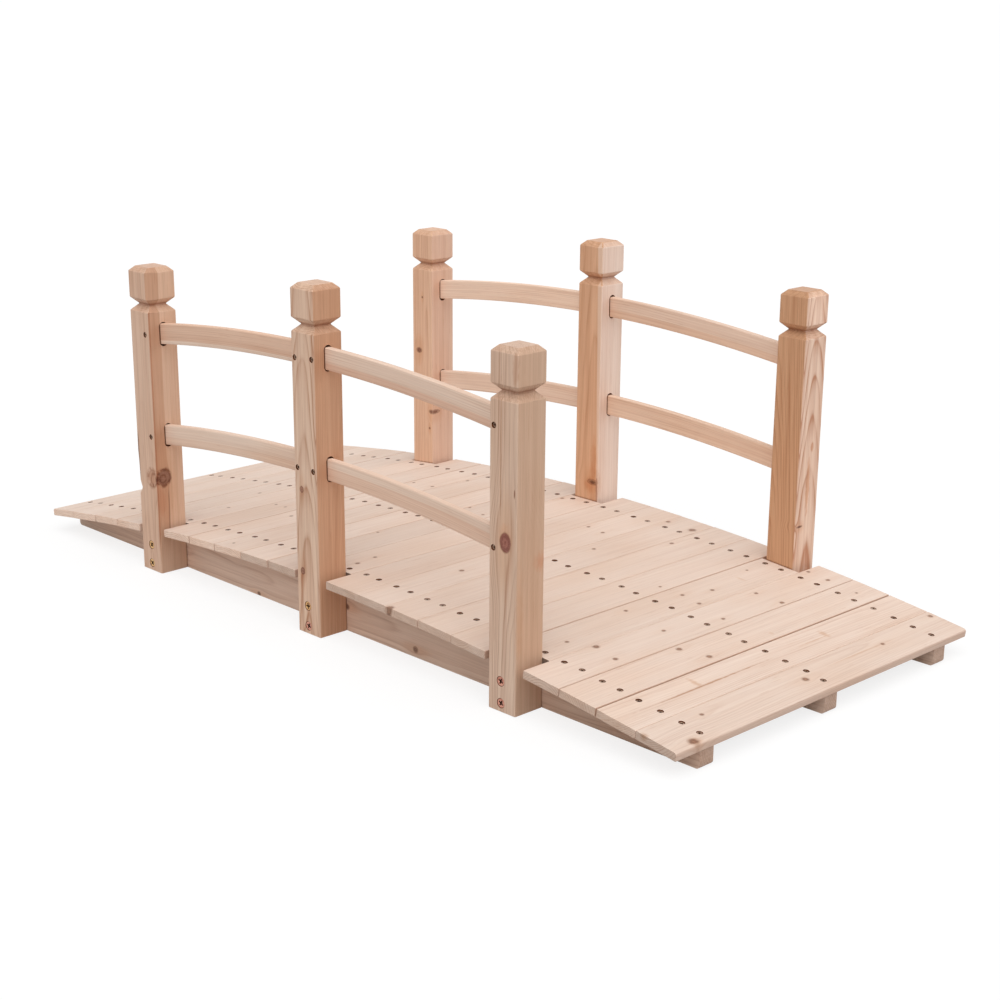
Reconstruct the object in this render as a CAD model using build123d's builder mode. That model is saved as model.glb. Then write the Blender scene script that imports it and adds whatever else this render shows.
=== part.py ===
"""Arched timber garden footbridge with two post-and-rail sides.

Sizes are millimetres. X runs along the walkway, Y across it with the front side at -Y, Z is up,
and the origin lies on the ground under the middle of the bridge.
"""

import math
import os

from build123d import *

# Deck: boards laid across an arc
deck_length = 1520
deck_width = 683
deck_crown_height = 97.5
deck_end_height = 40.5
board_thickness = 13
board_gap = 0.8
board_edge_bevel = 1.5
deck_nose_round = 5
boards_beyond_post = 4
boards_between_posts = 5

# Stringers: three arched beams under the boards
stringer_setback = 4
stringer_spread = 577
stringer_thickness = 28
stringer_toe_round = 6

# Posts: square timber with a grooved neck below a bevelled head
post_size = 54.5
post_edge_bevel = 2
end_post_height = 528
middle_post_height = 556
head_top_width = 37.5
head_bevel_height = 8
head_side_height = 44
neck_width = 32
neck_groove_height = 22

# Wane: the bark edge of the log, left on one corner of the front left post
wane_front_leg = 6.5
wane_side_leg = 22
wane_foot_height = 40
wane_fade_height = 130

# Rails: two arched bars in each bay, let into the posts
rail_height = 34.5
rail_thickness = 12
rail_edge_bevel = 2.5
rail_arc_radius = 3150
upper_rail_crown = 461.5
lower_rail_crown = 288
tenon_length = 15
tenon_clearance = 1.8
corner_clearance = 0.4

# Shared fits
seat_clearance = 0.1
cut_overrun = 10

# The deck arc runs through the crown and through both ends of the deck.
deck_rise = deck_crown_height - deck_end_height
deck_arc_radius = ((deck_length / 2) ** 2 + deck_rise**2) / (2 * deck_rise)
deck_arc_centre = deck_crown_height - deck_arc_radius
board_count = 2 * (boards_beyond_post + boards_between_posts) + 3
board_pitch_angle = 2 * math.asin(deck_length / 2 / deck_arc_radius) / board_count
board_width = deck_arc_radius * board_pitch_angle - board_gap
boards_per_bay = boards_between_posts + 1
post_pitch = deck_arc_radius * math.sin(boards_per_bay * board_pitch_angle)

# The posts stand against the outer faces of the outer stringers.
stringer_outer_face = stringer_spread / 2
post_row_offset = stringer_outer_face + seat_clearance + post_size / 2
short_board_length = stringer_spread

# A mortise takes the sloping rail until its slanted end seats, and is as tall as that slope needs.
rail_slope = math.asin(post_pitch / rail_arc_radius)
mortise_depth = tenon_length + rail_height / 2 * math.sin(rail_slope) + seat_clearance
slope_drop = mortise_depth * math.tan(rail_slope)

# It is a milled slot with round ends, which lie far enough out to clear the rail's squarer corners.
mortise_width = rail_thickness + 2 * tenon_clearance
corner_inset = rail_thickness / 2 - rail_edge_bevel
corner_reach = mortise_width / 2 - rail_edge_bevel - corner_clearance
mortise_end_room = mortise_width / 2 - rail_edge_bevel - math.sqrt(corner_reach**2 - corner_inset**2)
mortise_height = rail_height / math.cos(rail_slope) + slope_drop + 2 * mortise_end_room


def save(piece, name):
    """Labels a finished piece and writes it as its own file."""
    piece.part.label = name
    export_step(piece.part, f"parts/{name}.step")


def rail_centre_height(crown, distance):
    """Height of a rail's centre line at a distance along the walkway from the middle."""
    drop = rail_arc_radius - math.sqrt(rail_arc_radius**2 - distance**2)
    return crown - rail_height / 2 - drop


def make_stringer(name, middle):
    """A beam with a flat foot and an arched top, its thickness centred on the given place."""
    top_radius = deck_arc_radius - board_thickness - seat_clearance
    half = deck_length / 2 - stringer_setback
    shoulder = deck_arc_centre + math.sqrt(top_radius**2 - half**2)
    with BuildPart() as stringer:
        with BuildSketch(Plane.XZ.offset(-middle)):
            with BuildLine():
                ThreePointArc((-half, shoulder), (0, deck_arc_centre + top_radius), (half, shoulder))
                Polyline((half, shoulder), (half, 0), (-half, 0), (-half, shoulder))
            make_face()
        extrude(amount=stringer_thickness / 2, both=True)
        ends = stringer.faces().filter_by(Axis.X)
        toes = [end.edges().sort_by(Axis.Z)[0] for end in ends]
        fillet(toes, radius=stringer_toe_round)
    save(stringer, name)


def make_board(number):
    """One deck board, lying square to the arc where it rests."""
    place = number - (board_count + 1) // 2
    angle = place * board_pitch_angle
    beside_post = place % boards_per_bay == 0 and abs(place) <= boards_per_bay
    length = short_board_length if beside_post else deck_width
    radial = Vector(math.sin(angle), 0, math.cos(angle))
    seat = Vector(0, 0, deck_arc_centre) + radial * deck_arc_radius
    with BuildPart() as board:
        with BuildSketch(Plane(origin=seat, x_dir=radial.cross(Vector(0, 1, 0)) * -1, z_dir=radial)):
            Rectangle(board_width, length)
        extrude(amount=-board_thickness)
        long_edges = board.edges().filter_by(Axis.Y).sort_by(Axis.X)
        if abs(place) == board_count // 2:
            outer_pair = long_edges[-2:] if place > 0 else long_edges[:2]
            inner_pair = long_edges[:2] if place > 0 else long_edges[-2:]
            fillet(outer_pair.sort_by(Axis.Z)[-1], radius=deck_nose_round)
            chamfer(inner_pair, length=board_edge_bevel)
        else:
            chamfer(long_edges, length=board_edge_bevel)
    save(board, f"deck_board_{number:02d}")


def wane_outline(front_leg, side_leg):
    """The triangle that wane takes off a post's corner, drawn from that corner and past its two sides."""
    side_reach = side_leg + cut_overrun * side_leg / front_leg
    front_reach = front_leg + cut_overrun * front_leg / side_leg
    return (side_reach, -cut_overrun), (-cut_overrun, -cut_overrun), (-cut_overrun, front_reach)


def make_post(name, along, across, height, mortise_sides, waned=False):
    """A post with its head, neck, the mortises that take the rails on the given sides, and any wane."""
    half = post_size / 2
    bevel_foot = height - head_bevel_height
    groove_top = bevel_foot - head_side_height
    groove_foot = groove_top - neck_groove_height
    groove_bottom = (neck_width / 2, (groove_foot + groove_top) / 2)
    head_top_edge = (head_top_width / 2, height)
    with BuildPart() as post:
        with BuildSketch(Plane.XY):
            with Locations((along, across)):
                Rectangle(post_size, post_size)
        extrude(amount=height)
        chamfer(post.edges().filter_by(Axis.Z), length=post_edge_bevel)
        for turn in range(4):
            outward = Vector(1, 0, 0).rotate(Axis.Z, turn * 90)
            sideways = Vector(0, -1, 0).rotate(Axis.Z, turn * 90)
            with BuildSketch(Plane(origin=(along, across, 0), x_dir=outward, z_dir=sideways)):
                with BuildLine():
                    Polyline((half, groove_foot), (half, groove_top), groove_bottom, close=True)
                make_face()
                with BuildLine():
                    Polyline((half, bevel_foot), (half, height), head_top_edge, close=True)
                make_face()
            extrude(amount=half + cut_overrun, both=True, mode=Mode.SUBTRACT)
        for side in mortise_sides:
            face_place = along + side * half
            for crown in (upper_rail_crown, lower_rail_crown):
                middle = rail_centre_height(crown, abs(face_place - side * mortise_depth / 2))
                face = Plane(origin=(face_place, across, middle), x_dir=(0, side, 0), z_dir=(side, 0, 0))
                with BuildSketch(face):
                    SlotOverall(mortise_height, mortise_width, rotation=90)
                extrude(amount=-mortise_depth, mode=Mode.SUBTRACT)
        if waned:
            corner = Plane(origin=(along + half, across - half, 0), x_dir=(0, 1, 0), z_dir=(0, 0, 1))
            full_wane_height = wane_foot_height + wane_fade_height
            foot = (wane_foot_height, post_edge_bevel, post_edge_bevel)
            full = (full_wane_height, post_edge_bevel, wane_side_leg)
            top = (height + cut_overrun, wane_front_leg, wane_side_leg)
            for stretch in ((foot, full), (full, top)):
                for level, front_leg, side_leg in stretch:
                    with BuildSketch(corner.offset(level)):
                        Polygon(*wane_outline(front_leg, side_leg), align=None)
                loft(mode=Mode.SUBTRACT)
    save(post, name)


def make_rail(name, side, across, crown):
    """An arched rail from a mortise in the middle post to one in the end post on the given side."""
    inner = post_size / 2 - tenon_length
    outer = post_pitch - post_size / 2 + tenon_length
    centre = crown - rail_arc_radius
    middle_radius = rail_arc_radius - rail_height / 2
    start = math.asin(inner / middle_radius)
    sweep_angle = math.asin(outer / middle_radius) - start
    radial = Vector(side * math.sin(start), 0, math.cos(start))
    tangent = Vector(math.cos(start), 0, -side * math.sin(start))
    origin = Vector(0, across, centre) + radial * middle_radius
    with BuildPart() as rail:
        with BuildSketch(Plane(origin=origin, x_dir=radial, z_dir=tangent)) as section:
            Rectangle(rail_height, rail_thickness)
            chamfer(section.vertices(), length=rail_edge_bevel)
        revolve(axis=Axis((0, across, centre), (0, side, 0)), revolution_arc=math.degrees(sweep_angle))
    save(rail, name)


os.makedirs("parts", exist_ok=True)

stringer_middle = stringer_outer_face - stringer_thickness / 2
make_stringer("stringer_front", -stringer_middle)
make_stringer("stringer_centre", 0)
make_stringer("stringer_back", stringer_middle)

for board_number in range(1, board_count + 1):
    make_board(board_number)

for row, across in (("front", -post_row_offset), ("back", post_row_offset)):
    make_post(f"post_{row}_left", -post_pitch, across, end_post_height, (1,), waned=row == "front")
    make_post(f"post_{row}_middle", 0, across, middle_post_height, (-1, 1))
    make_post(f"post_{row}_right", post_pitch, across, end_post_height, (-1,))
    for bay, side in (("left", -1), ("right", 1)):
        make_rail(f"rail_{row}_{bay}_upper", side, across, upper_rail_crown)
        make_rail(f"rail_{row}_{bay}_lower", side, across, lower_rail_crown)
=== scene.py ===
"""Looks of the arched timber garden footbridge: bare fir, sunk screws, soft studio light."""

import math
import random

import bmesh
import bpy
from mathutils import Matrix, Vector


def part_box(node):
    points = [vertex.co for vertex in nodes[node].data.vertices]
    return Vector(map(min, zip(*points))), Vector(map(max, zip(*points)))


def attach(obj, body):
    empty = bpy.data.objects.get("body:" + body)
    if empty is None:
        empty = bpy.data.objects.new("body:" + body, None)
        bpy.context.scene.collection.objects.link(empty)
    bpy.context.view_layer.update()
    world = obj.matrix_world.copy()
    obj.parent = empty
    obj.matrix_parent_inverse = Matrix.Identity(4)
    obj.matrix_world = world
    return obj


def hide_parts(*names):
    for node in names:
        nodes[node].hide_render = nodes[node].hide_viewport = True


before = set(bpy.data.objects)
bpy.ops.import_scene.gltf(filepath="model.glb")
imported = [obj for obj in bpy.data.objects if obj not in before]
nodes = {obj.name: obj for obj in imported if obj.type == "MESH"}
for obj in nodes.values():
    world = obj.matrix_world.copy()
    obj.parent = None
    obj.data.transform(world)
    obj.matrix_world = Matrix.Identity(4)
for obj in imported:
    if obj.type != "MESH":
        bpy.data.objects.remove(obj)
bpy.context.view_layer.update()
MM = 0.001
SHARP_ANGLE = math.radians(38)
SQUARE = ((-1, -1), (1, -1), (1, 1), (-1, 1))

# Directions across, through and along the grain of the posts, and of the beams and rails
UPRIGHT = ((1.0, 0.0, 0.0), (0.0, 1.0, 0.0), (0.0, 0.0, 1.0))
LENGTHWISE = ((0.0, 1.0, 0.0), (0.0, 0.0, 1.0), (1.0, 0.0, 0.0))

# The sizes of the CAD part, in millimetres
DECK_LENGTH, DECK_WIDTH, SHORT_LENGTH = 1520.0, 683.0, 577.0
CROWN, DECK_END, BOARD_THICK, BOARD_GAP = 97.5, 40.5, 13.0, 0.8
BOARD_COUNT, BOARDS_PER_BAY = 21, 6
POST, POST_Y, END_POST, MIDDLE_POST = 54.5, 315.85, 528.0, 556.0
HEAD_TOP, HEAD_BEVEL, HEAD_SIDE, NECK, GROOVE = 37.5, 8.0, 44.0, 32.0, 22.0
WANE_FRONT, WANE_SIDE, WANE_FOOT, WANE_FADE = 6.5, 22.0, 40.0, 130.0
RAIL_HEIGHT, RAIL_THICK, RAIL_EDGE, RAIL_RADIUS = 34.5, 12.0, 2.5, 3150.0
RAIL_CROWNS = {"upper": 461.5, "lower": 288.0}
TENON, TENON_CLEARANCE, CORNER_CLEARANCE, SEAT_CLEARANCE = 15.0, 1.8, 0.4, 0.1

RISE = CROWN - DECK_END
DECK_RADIUS = ((DECK_LENGTH / 2) ** 2 + RISE**2) / (2 * RISE)
PITCH_ANGLE = 2 * math.asin(DECK_LENGTH / 2 / DECK_RADIUS) / BOARD_COUNT
MIDDLE_BOARD = (BOARD_COUNT + 1) // 2
POST_BOARDS = tuple(MIDDLE_BOARD + bay * BOARDS_PER_BAY for bay in (-1, 0, 1))
POST_PITCH = DECK_RADIUS * math.sin(BOARDS_PER_BAY * PITCH_ANGLE)
RAIL_SLOPE = math.asin(POST_PITCH / RAIL_RADIUS)
MORTISE_DEPTH = TENON + RAIL_HEIGHT / 2 * math.sin(RAIL_SLOPE) + SEAT_CLEARANCE
MORTISE_WIDTH = RAIL_THICK + 2 * TENON_CLEARANCE
CORNER_INSET = RAIL_THICK / 2 - RAIL_EDGE
CORNER_REACH = MORTISE_WIDTH / 2 - RAIL_EDGE - CORNER_CLEARANCE
END_ROOM = MORTISE_WIDTH / 2 - RAIL_EDGE - math.sqrt(CORNER_REACH**2 - CORNER_INSET**2)
MORTISE_HEIGHT = RAIL_HEIGHT / math.cos(RAIL_SLOPE) + MORTISE_DEPTH * math.tan(RAIL_SLOPE) + 2 * END_ROOM


def linear(red, green, blue):
    """A colour given as 0 to 255 display values, as the linear values that shaders use."""
    def channel(value):
        share = value / 255
        return share / 12.92 if share <= 0.04045 else ((share + 0.055) / 1.055) ** 2.4
    return (channel(red), channel(green), channel(blue), 1.0)


class Tree:
    """Adds nodes to a node tree, and links or sets their inputs.

    A material's tree also keeps where its noise is taken, and a wood's the place in its grain and the normal.
    """

    def __init__(self, tree):
        self.tree = tree
        self.place = self.local = self.normal = None
        tree.nodes.clear()

    def feed(self, socket, value):
        if isinstance(value, bpy.types.NodeSocket):
            self.tree.links.new(value, socket)
        else:
            socket.default_value = value

    def add(self, kind, inputs=None, **settings):
        node = self.tree.nodes.new(kind)
        for key, value in settings.items():
            setattr(node, key, value)
        for key, value in (inputs or {}).items():
            self.feed(node.inputs[key], value)
        return node

    def math(self, operation, *values, clamp=False):
        inputs = dict(enumerate(values))
        return self.add("ShaderNodeMath", inputs, operation=operation, use_clamp=clamp).outputs[0]

    def plus(self, first, second):
        return self.math("ADD", first, second)

    def minus(self, first, second):
        return self.math("SUBTRACT", first, second)

    def times(self, first, second):
        return self.math("MULTIPLY", first, second)

    def affine(self, value, factor, start):
        return self.math("MULTIPLY_ADD", value, factor, start)

    def size(self, value):
        return self.math("ABSOLUTE", value)

    def vector(self, operation, *values):
        node = self.add("ShaderNodeVectorMath", dict(enumerate(values)), operation=operation)
        return node.outputs["Value" if operation in ("LENGTH", "DOT_PRODUCT") else "Vector"]

    def scale(self, vector, share):
        inputs = {0: vector, "Scale": share}
        return self.add("ShaderNodeVectorMath", inputs, operation="SCALE").outputs["Vector"]

    def split(self, vector):
        return self.add("ShaderNodeSeparateXYZ", {0: vector}).outputs

    def join(self, *parts):
        return self.add("ShaderNodeCombineXYZ", dict(enumerate(parts))).outputs[0]

    def noise(self, scale, detail=2.0, roughness=0.5, colour=False):
        inputs = {"Vector": self.vector("MULTIPLY", self.local, scale), "Scale": 1.0, "Detail": detail}
        node = self.add("ShaderNodeTexNoise", {**inputs, "Roughness": roughness})
        return node.outputs["Color" if colour else "Fac"]

    def smooth(self, value, low, high, start=0.0, end=1.0):
        inputs = {"Value": value, "From Min": low, "From Max": high, "To Min": start, "To Max": end}
        return self.add("ShaderNodeMapRange", inputs, interpolation_type="SMOOTHSTEP").outputs["Result"]

    def bell(self, value):
        """One where the value is zero, falling to nothing at about two."""
        return self.math("EXPONENT", self.math("MULTIPLY", self.math("POWER", value, 2.0), -1.0))

    def mix(self, share, first, second, blend="MIX"):
        node = self.add("ShaderNodeMix", data_type="RGBA", blend_type=blend)
        for key, value in (("Factor", share), (6, first), (7, second)):
            self.feed(node.inputs[key], value)
        return node.outputs[2]

    def tint(self, share, colour, red, green, blue):
        """The colour multiplied by a tint where the share is one."""
        return self.mix(share, colour, (red, green, blue, 1.0), "MULTIPLY")

    def ramp(self, value, *stops):
        node = self.add("ShaderNodeValToRGB", {"Fac": value})
        elements = node.color_ramp.elements
        while len(elements) < len(stops):
            elements.new(0.5)
        for element, (place, shade) in zip(elements, stops):
            element.position = place
            element.color = (shade, shade, shade, 1.0)
        return node.outputs["Color"]

    def facing(self, axis):
        return self.vector("DOT_PRODUCT", self.normal, axis)

    def object_place(self):
        return self.add("ShaderNodeTexCoord").outputs["Object"]

    def bump(self, height, strength, distance):
        inputs = {"Height": height, "Strength": strength, "Distance": distance}
        return self.add("ShaderNodeBump", inputs).outputs["Normal"]

    def surface(self, colour, rough, bump, **more):
        inputs = {"Base Color": colour, "Roughness": rough, "Normal": bump, **more}
        shader = self.add("ShaderNodeBsdfPrincipled", inputs)
        self.add("ShaderNodeOutputMaterial", {"Surface": shader.outputs[0]})


def new_tree(name):
    """A material of this name, and its emptied node tree."""
    material = bpy.data.materials.new(name)
    material.use_nodes = True
    return material, Tree(material.node_tree)


def straight_place(t, axes, origin):
    """Millimetres across, through and along straight grain, from an origin."""
    turn = Matrix(axes)
    return t.add("ShaderNodeMapping", {
        "Vector": t.object_place(),
        "Location": -(turn @ Vector(origin)),
        "Rotation": turn.to_euler(),
        "Scale": (1 / MM, 1 / MM, 1 / MM),
    }).outputs["Vector"]


def arched_place(t, across, crown):
    """Millimetres across, through and along the grain of a rail that is bent to its arc."""
    spot = t.scale(t.object_place(), 1 / MM)
    x, y, z = t.split(t.vector("SUBTRACT", spot, (0.0, across, crown - RAIL_RADIUS)))
    out = t.vector("LENGTH", t.join(x, 0.0, z))
    return t.join(y, t.minus(out, RAIL_RADIUS - RAIL_HEIGHT / 2), x)


def wood(name, grain, light, dark, seed, pith, ring=4.0, taper=0.02, contrast=0.6, warp=4.0, side=None,
         side_lines=0.5, end_lines=0.5, mottle=1.0, fibres=0.34, end=(0.95, 0.90, 0.86), knots=(),
         knot_colour=(150, 100, 80), knot_heart=None, knot_core=0.5, knot_rim=0.8, knot_rough=0.6,
         knot_glow=0.55, knot_years=7.0, knot_fill=0.9, knot_grit=0.22, knot_sweep=1.0, extra=None):
    """Bare fir cut from a log: rings, fibres, streaks, knots and end grain.

    Lengths are millimetres. Noise scales are per millimetre across, through and along the grain.
    """
    material, t = new_tree(name)
    kind, *details = grain
    if kind == "arched":
        t.place, axes = arched_place(t, *details), LENGTHWISE
    else:
        t.place, axes = straight_place(t, *details), details[0]
    t.normal = t.add("ShaderNodeNewGeometry").outputs["Normal"]
    t.local = t.vector("ADD", t.place, (seed * 613.0, seed * 397.0, seed * 991.0))

    # The grain wanders slowly, and parts round each knot
    bend = t.noise((0.012, 0.012, 0.0042), 2.0, 0.55, colour=True)
    bend = t.vector("MULTIPLY", t.vector("SUBTRACT", bend, (0.5, 0.5, 0.5)), (2 * warp, 2 * warp, 0.0))
    bent = t.vector("ADD", t.place, bend)
    parted = bent
    nearest, tail = None, None
    for across, through, along, half_width, depth, half_length in knots:
        away = t.vector("SUBTRACT", bent, (across, through, along))
        reach = t.vector("LENGTH", t.vector("MULTIPLY", away, (1 / half_width, 1 / depth, 1 / half_length)))
        trail = t.vector("LENGTH", t.vector("MULTIPLY", away, (1 / half_width, 1 / depth, 0.3 / half_length)))
        nearest = reach if nearest is None else t.math("MINIMUM", nearest, reach)
        tail = trail if tail is None else t.math("MINIMUM", tail, trail)
        swept = 0.42 / knot_sweep
        wide = t.vector("MULTIPLY", away, (swept / half_width, swept / depth, 0.62 * swept / half_length))
        share = t.times(t.bell(t.vector("LENGTH", wide)), 0.85)
        shift = t.scale(t.vector("MULTIPLY", away, (1.0, 1.0, 0.0)), share)
        parted = t.vector("SUBTRACT", parted, shift)

    # Growth rings: distance from the pith of the log, darkening towards each ring's outer edge
    x, y, z = t.split(parted)
    off_pith = t.join(t.minus(x, pith[0]), t.minus(y, pith[1]), 0.0)
    radius = t.affine(z, taper, t.vector("LENGTH", off_pith))
    step = t.affine(radius, 0.25 / ring, seed * 17.0)
    uneven = t.add("ShaderNodeTexNoise", {"W": step, "Scale": 1.0, "Detail": 1.0}, noise_dimensions="1D")
    rings_out = t.math("DIVIDE", radius, ring)
    phase = t.math("FRACT", t.affine(uneven.outputs["Fac"], 1.9, rings_out))
    late = t.ramp(phase, (0.0, 0.30), (0.08, 0.02), (0.50, 0.08), (0.80, 0.50), (0.93, 1.0), (1.0, 0.30))
    fade = t.smooth(t.noise((0.03, 0.03, 0.005)), 0.30, 0.66, 0.25, 1.0)
    across_face = t.smooth(t.size(t.facing(axes[0])), 0.55, 0.80)
    ends = t.smooth(t.size(t.facing(axes[2])), 0.45, 0.90)
    depth = t.affine(across_face, -contrast * (1 - side_lines), contrast)
    depth = t.affine(ends, t.minus(end_lines, depth), depth)
    lines = t.times(t.times(late, fade), depth)

    # Fibres, streaks along the grain and slow blotches
    fibre = t.noise((0.85, 0.85, 0.012), 3.0, 0.65)
    thread = t.noise((0.36, 0.36, 0.0045), 2.0, 0.6)
    streak = t.noise((0.11, 0.11, 0.0018), 3.0, 0.6)
    blotch = t.noise((0.012, 0.012, 0.005))
    tone = t.affine(thread, 0.75 * mottle, 0.13 - 0.95 * mottle)
    tone = t.affine(streak, 1.15 * mottle, tone)
    tone = t.math("ADD", lines, tone, clamp=True)
    pale, deep = linear(*light), linear(*dark)
    # Faces across the grain can take colours of their own, which hold the wood's tone there and painted light
    # and shade of those faces
    if side is not None:
        pale, deep = t.mix(across_face, pale, linear(*side[0])), t.mix(across_face, deep, linear(*side[1]))
    colour = t.mix(tone, pale, deep)
    colour = t.tint(t.smooth(blotch, 0.35, 0.75, 0.0, 0.6), colour, 0.955, 0.885, 0.825)
    colour = t.mix(fibres, colour, t.ramp(fibre, (0.25, 0.62), (0.5, 0.95), (0.8, 1.0)), "MULTIPLY")
    fleck = t.smooth(t.noise((0.42, 0.42, 0.022), 2.0, 0.55), 0.64, 0.74, 0.0, 0.45)
    colour = t.tint(fleck, colour, 0.80, 0.68, 0.60)

    # End grain keeps the marks of the saw
    saw = t.noise((0.05, 0.7, 0.05), 3.0, 0.6)
    sawn = t.mix(0.6, t.tint(1.0, colour, *end), t.ramp(saw, (0.3, 0.70), (0.7, 1.0)), "MULTIPLY")
    colour = t.mix(ends, colour, sawn)

    # Knots: a glow round them, years of their own and a torn dark rim
    if nearest is not None:
        torn = t.noise((knot_grit, knot_grit, knot_grit))
        rough_edge = t.affine(torn, knot_rough, -knot_rough / 2)
        ragged = t.plus(nearest, rough_edge)
        years = t.noise((0.5, 0.5, 0.5), 3.0, 0.6)
        years = t.affine(years, 9.0, t.times(ragged, knot_years))
        years = t.affine(t.math("SINE", years), 0.5, 0.5)
        inner = linear(*(knot_heart or [0.84 * part for part in knot_colour]))
        heart = t.mix(years, linear(*knot_colour), inner)
        glow = t.smooth(t.plus(tail, rough_edge), 0.8, 2.2, knot_glow, 0.0)
        colour = t.tint(glow, colour, 0.90, 0.76, 0.64)
        colour = t.mix(t.smooth(ragged, knot_core, 1.08, knot_fill, 0.0), colour, heart)
        rim = t.smooth(t.size(t.minus(ragged, 0.95)), 0.0, 0.22, knot_rim, 0.0)
        rim = t.times(rim, t.smooth(torn, 0.35, 0.55, 0.45, 1.0))
        colour = t.tint(rim, colour, 0.50, 0.36, 0.31)
    if extra is not None:
        colour = extra(t, colour)

    height = t.affine(saw, t.times(ends, 1.2), t.times(fibre, 0.8))
    height = t.affine(lines, 0.35, height)
    rough = t.affine(lines, -0.10, t.affine(fibre, 0.22, 0.50))
    t.surface(colour, rough, t.bump(height, 0.35, 0.0005), **{"Specular IOR Level": 0.28})
    return material


def ragged_reach(t, spot, halves, grit, tear):
    """Distance from a spot in half sizes, with an uneven outline."""
    away = t.vector("MULTIPLY", t.vector("SUBTRACT", t.place, spot), tuple(1 / half for half in halves))
    torn = t.affine(t.noise(grit), tear, -tear / 2)
    return t.plus(t.vector("LENGTH", away), torn)


def blot(t, colour, spot, halves, tint, core=0.45):
    """A ragged stain round a spot of the wood, at full strength out to its core."""
    reach = ragged_reach(t, spot, halves, (0.25, 0.25, 0.08), 0.9)
    return t.tint(t.smooth(reach, core, 1.0, 1.0, 0.0), colour, *tint)


def ring_mark(t, colour, spot, halves, width, tint):
    """The broken dark outline of a knot whose inside has the colour of the wood."""
    reach = ragged_reach(t, spot, halves, (0.09, 0.09, 0.09), 0.45)
    line = t.smooth(t.size(t.minus(reach, 0.9)), 0.0, width, 1.0, 0.0)
    gaps = t.smooth(t.noise((0.14, 0.14, 0.14)), 0.34, 0.56, 0.25, 1.0)
    return t.tint(t.times(line, gaps), colour, *tint)


def metal(name, colour, stain, seed, metallic):
    """Plated steel with a thin uneven tarnish."""
    material, t = new_tree(name)
    t.local = t.vector("ADD", t.object_place(), (seed, seed, seed))
    spots = t.noise((900.0, 900.0, 900.0), 3.0, 0.6)
    wide = t.noise((60.0, 60.0, 60.0), 1.0)
    tarnish = t.smooth(t.affine(wide, 0.5, spots), 0.55, 0.95)
    tone = t.mix(tarnish, linear(*colour), linear(*stain))
    rough = t.smooth(spots, 0.3, 0.7, 0.28, 0.50)
    t.surface(tone, rough, t.bump(spots, 0.2, 0.0001), Metallic=metallic)
    return material


def bored_wood(name, colour, burnt):
    """The rough walls that a drill or a mill leaves, in colours given darker than the wood as painted shade.
    """
    material, t = new_tree(name)
    t.local = t.object_place()
    torn = t.noise((700.0, 700.0, 700.0), 3.0, 0.6)
    tone = t.mix(t.smooth(torn, 0.35, 0.65), linear(*burnt), linear(*colour))
    rough = t.smooth(torn, 0.3, 0.7, 0.75, 0.95)
    t.surface(tone, rough, t.bump(torn, 0.5, 0.0004), **{"Specular IOR Level": 0.05})
    return material


def add_piece(name, mesh, *materials):
    """Puts a mesh into the scene as an object with these material slots."""
    piece = bpy.data.objects.new(name, mesh)
    bpy.context.scene.collection.objects.link(piece)
    for material in materials:
        mesh.materials.append(material)
    return piece


def loft(name, rings, slot=0):
    """A closed mesh through rings of equally many points, with its faces in a material slot."""
    count = len(rings[0])
    faces = [tuple(range(count)), tuple(range((len(rings) - 1) * count, len(rings) * count))]
    for k in range(len(rings) - 1):
        for i in range(count):
            j = (i + 1) % count
            faces.append((k * count + i, k * count + j, (k + 1) * count + j, (k + 1) * count + i))
    mesh = bpy.data.meshes.new(name)
    mesh.from_pydata([point * MM for ring in rings for point in ring], [], faces)
    work = bmesh.new()
    work.from_mesh(mesh)
    bmesh.ops.recalc_face_normals(work, faces=work.faces)
    for face in work.faces:
        face.material_index = slot
    work.to_mesh(mesh)
    work.free()
    return mesh


def lathe(profile, foot, out, count=20):
    """Rings of a turned shape. Its profile pairs are a radius and a distance out from the foot."""
    out = Vector(out).normalized()
    one = out.orthogonal().normalized()
    two = out.cross(one)
    turns = [2 * math.pi * i / count for i in range(count)]
    rings = []
    for radius, along in profile:
        middle = Vector(foot) + out * along
        rings.append([middle + (one * math.cos(a) + two * math.sin(a)) * radius for a in turns])
    return rings


def join_meshes(name, meshes):
    """One mesh that takes the place of several."""
    work = bmesh.new()
    for mesh in meshes:
        work.from_mesh(mesh)
        bpy.data.meshes.remove(mesh)
    joined = bpy.data.meshes.new(name)
    work.to_mesh(joined)
    work.free()
    return joined


def finish_piece(piece, cutters, *cut_materials):
    """Takes the cutters out of a piece, then shades its rounded edges smooth and its faces flat."""
    tool = None
    if cutters:
        tool = add_piece("tool", join_meshes("tool", cutters), *cut_materials)
        cut = piece.modifiers.new("cut", "BOOLEAN")
        cut.operation, cut.solver, cut.material_mode, cut.object = "DIFFERENCE", "EXACT", "TRANSFER", tool
    bpy.context.view_layer.update()
    made = bpy.data.meshes.new_from_object(piece.evaluated_get(bpy.context.evaluated_depsgraph_get()))
    piece.modifiers.clear()
    old, piece.data = piece.data, made
    made.name = piece.name
    bpy.data.meshes.remove(old)
    if tool is not None:
        old = tool.data
        bpy.data.objects.remove(tool)
        bpy.data.meshes.remove(old)
    made.shade_smooth()
    made.set_sharp_from_angle(angle=SHARP_ANGLE)
    weigh = piece.modifiers.new("flat_faces", "WEIGHTED_NORMAL")
    weigh.keep_sharp = True
    weigh.weight = 80


def stand_for(piece, node):
    """Lets a piece take the place of a CAD node."""
    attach(piece, "root")
    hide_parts(node)


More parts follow.
